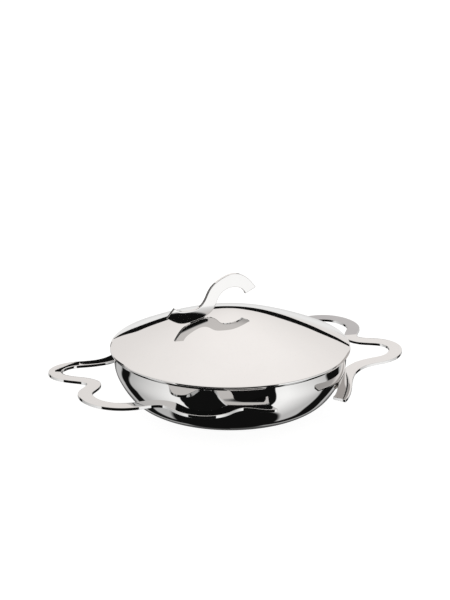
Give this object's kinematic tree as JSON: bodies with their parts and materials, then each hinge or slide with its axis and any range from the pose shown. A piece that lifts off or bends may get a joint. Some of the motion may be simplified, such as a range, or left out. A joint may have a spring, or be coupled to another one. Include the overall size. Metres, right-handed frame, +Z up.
{
  "type": "egg pan",
  "caption": "Round polished steel egg pan with a bonded base, wavy flat side handles and a lift-off domed lid with an S-shaped plate knob.",
  "frame": {"origin": "on the pan's axis, at the underside of the base", "axes": "+X along the handles, towards the right-hand one; +Z up, along the pan's axis; +Y completes the frame"},
  "size_m": [0.3056, 0.2212, 0.1156],
  "materials": {
    "polished_steel": "polished",
    "lid_steel": "polished",
    "handle_steel": "polished",
    "knob_steel": "polished",
    "base_steel": "satin",
    "base_aluminium": "satin",
    "weld_steel": "satin"
  },
  "bodies": {
    "pan": {"pan_shell": "polished_steel", "base_core": "base_aluminium", "base_cap": "base_steel", "handle_left": "handle_steel", "handle_right": "handle_steel", "weld_left_rear": "weld_steel", "weld_left_front": "weld_steel", "weld_right_front": "weld_steel", "weld_right_rear": "weld_steel"},
    "lid": {"lid_shell": "lid_steel", "lid_knob": "knob_steel", "knob_weld": "weld_steel"}
  },
  "joints": [
    {"name": "lid_lift", "type": "slide", "parent": "pan", "child": "lid", "axis": [0, 0, 1], "range_m": [0, 0.12]}
  ]
}
